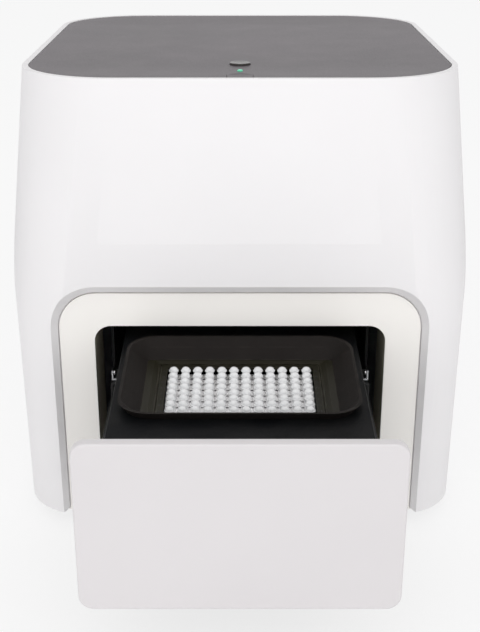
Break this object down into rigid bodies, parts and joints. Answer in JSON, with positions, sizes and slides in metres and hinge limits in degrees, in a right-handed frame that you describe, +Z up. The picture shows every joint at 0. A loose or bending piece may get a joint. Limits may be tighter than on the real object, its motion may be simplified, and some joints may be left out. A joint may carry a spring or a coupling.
{
  "type": "real-time pcr machine",
  "caption": "Bench thermal cycler with an off-white moulded housing, a motor-driven sample drawer, a heated lid, scanning optics, fans and a rear power inlet.",
  "frame": {"origin": "centre of the bounding box's bottom face, with the drawer open", "axes": "+Z up, the front with the drawer faces -Y, +X to the right seen from the front"},
  "size_m": [0.3538, 0.565, 0.3655],
  "materials": {
    "shell": "fine moulded texture, off-white",
    "fascia": "fine moulded texture, warm cream",
    "door": "fine moulded texture, off-white",
    "top_panel": "satin, dark grey",
    "button": "semi-gloss, near black",
    "light": "translucent green lens",
    "tunnel": "matte, olive grey",
    "drawer_black": "satin, black",
    "rim": "matte, brown black",
    "frame": "matte, dark olive",
    "tube": "frosted clear polypropylene",
    "aluminium": "machined",
    "sheet_steel": "zinc plated sheet",
    "black_steel": "black powder coat",
    "screw_steel": "ground",
    "brass": "turned",
    "rear_panel": "light grey powder coat",
    "inner_plastic": "black moulded",
    "white_ceramic": "matte, white",
    "board": "solder mask, green",
    "gear": "acetal, natural",
    "foot": "matte, black"
  },
  "bodies": {
    "chassis": {"housing_shell": "shell", "top_panel": "top_panel", "status_light": "light", "control_board": "board", "fascia": "fascia", "drawer_tunnel": "tunnel", "base_plate": "sheet_steel", "feet": "foot", "rear_panel": "rear_panel", "panel_screws": "screw_steel", "power_entry": "inner_plastic", "power_pins": "brass", "data_ports": "sheet_steel", "main_board": "board", "power_supply": "sheet_steel", "rear_fan_frame": "inner_plastic", "side_plates": "sheet_steel", "slide_outer_right": "sheet_steel", "slide_outer_left": "sheet_steel", "stepper_motors": "black_steel", "motor_bracket": "sheet_steel", "lid_posts": "screw_steel", "optics_deck": "sheet_steel", "end_brackets": "aluminium", "scan_rails": "screw_steel", "detector": "inner_plastic"},
    "drawer": {"drawer_tray": "black_steel", "drawer_cover": "drawer_black", "door_panel": "door", "door_carrier": "black_steel", "sample_rim": "rim", "block_frame": "frame", "sample_block": "aluminium", "tube_caps": "tube", "peltier_modules": "white_ceramic", "heat_sink": "aluminium", "block_brackets": "sheet_steel", "block_fan_frame": "inner_plastic", "drawer_rack": "gear", "slide_inner_right": "black_steel", "slide_inner_left": "black_steel"},
    "slide_middles": {"slide_middle_right": "sheet_steel", "slide_middle_left": "sheet_steel"},
    "pinion": {"drive_pinion": "gear"},
    "lid": {"heater_plate": "aluminium", "lid_insulator": "white_ceramic", "lid_carrier": "black_steel", "lid_nut": "brass"},
    "lid_lead_screw": {"lid_screw": "screw_steel"},
    "carriage": {"optics_carriage": "aluminium", "lens_bar": "inner_plastic", "light_module": "aluminium"},
    "scan_lead_screw": {"scan_screw": "screw_steel"},
    "wheel": {"filter_wheel": "aluminium"},
    "block_rotor": {"block_fan_rotor": "inner_plastic"},
    "rear_rotor": {"rear_fan_rotor": "inner_plastic"},
    "power_key": {"power_button": "button"},
    "drawer_key": {"drawer_button": "button"},
    "rocker": {"power_rocker": "button"}
  },
  "joints": [
    {"name": "drawer_slide", "type": "slide", "parent": "chassis", "child": "drawer", "axis": [0, 1, 0], "range_m": [0, 0.177]},
    {"name": "middle_slide", "type": "slide", "parent": "chassis", "child": "slide_middles", "axis": [0, 1, 0], "range_m": [0, 0.0886]},
    {"name": "pinion_spin", "type": "hinge", "parent": "chassis", "child": "pinion", "pos_m": [0.04, -0.0314, 0.03603], "axis": [-1, 0, 0], "range_deg": [0, 752]},
    {"name": "lid_slide", "type": "slide", "parent": "chassis", "child": "lid", "axis": [0, 0, -1], "range_m": [0, 0.0135]},
    {"name": "lid_screw_spin", "type": "hinge", "parent": "chassis", "child": "lid_lead_screw", "pos_m": [0, 0.0782, 0.2], "axis": [0, 0, 1], "range_deg": [0, 1216]},
    {"name": "carriage_slide", "type": "slide", "parent": "chassis", "child": "carriage", "axis": [1, 0, 0], "range_m": [-0.0495, 0.0495]},
    {"name": "scan_screw_spin", "type": "hinge", "parent": "chassis", "child": "scan_lead_screw", "pos_m": [0, 0.0062, 0.25], "axis": [-1, 0, 0], "range_deg": [-4456, 4456]},
    {"name": "wheel_spin", "type": "hinge", "parent": "chassis", "child": "wheel", "pos_m": [-0.1278, -0.0188, 0.262], "axis": [1, 0, 0], "continuous": true},
    {"name": "block_fan_spin", "type": "hinge", "parent": "drawer", "child": "block_rotor", "pos_m": [0, -0.1708, 0.07], "axis": [0, 0, 1], "continuous": true},
    {"name": "rear_fan_spin", "type": "hinge", "parent": "chassis", "child": "rear_rotor", "pos_m": [-0.05, 0.265, 0.168], "axis": [0, 1, 0], "continuous": true},
    {"name": "power_button_press", "type": "slide", "parent": "chassis", "child": "power_key", "axis": [0, -0.061, -0.9981], "range_m": [0, 0.0008], "stiffness_N_per_m": 500, "springref_m": -0.001},
    {"name": "drawer_button_press", "type": "slide", "parent": "chassis", "child": "drawer_key", "axis": [0, -0.061, -0.9981], "range_m": [0, 0.0008], "stiffness_N_per_m": 500, "springref_m": -0.001},
    {"name": "rocker_tilt", "type": "hinge", "parent": "chassis", "child": "rocker", "pos_m": [0.072, 0.2772, 0.076], "axis": [1, 0, 0], "range_deg": [0, 8]}
  ],
  "couplings": [
    {"joint": "middle_slide", "follows": "drawer_slide", "ratio": 0.5},
    {"joint": "pinion_spin", "follows": "drawer_slide", "rad_per_m": 74.074},
    {"joint": "lid_screw_spin", "follows": "lid_slide", "rad_per_m": 1570.8},
    {"joint": "scan_screw_spin", "follows": "carriage_slide", "rad_per_m": 1570.8}
  ]
}
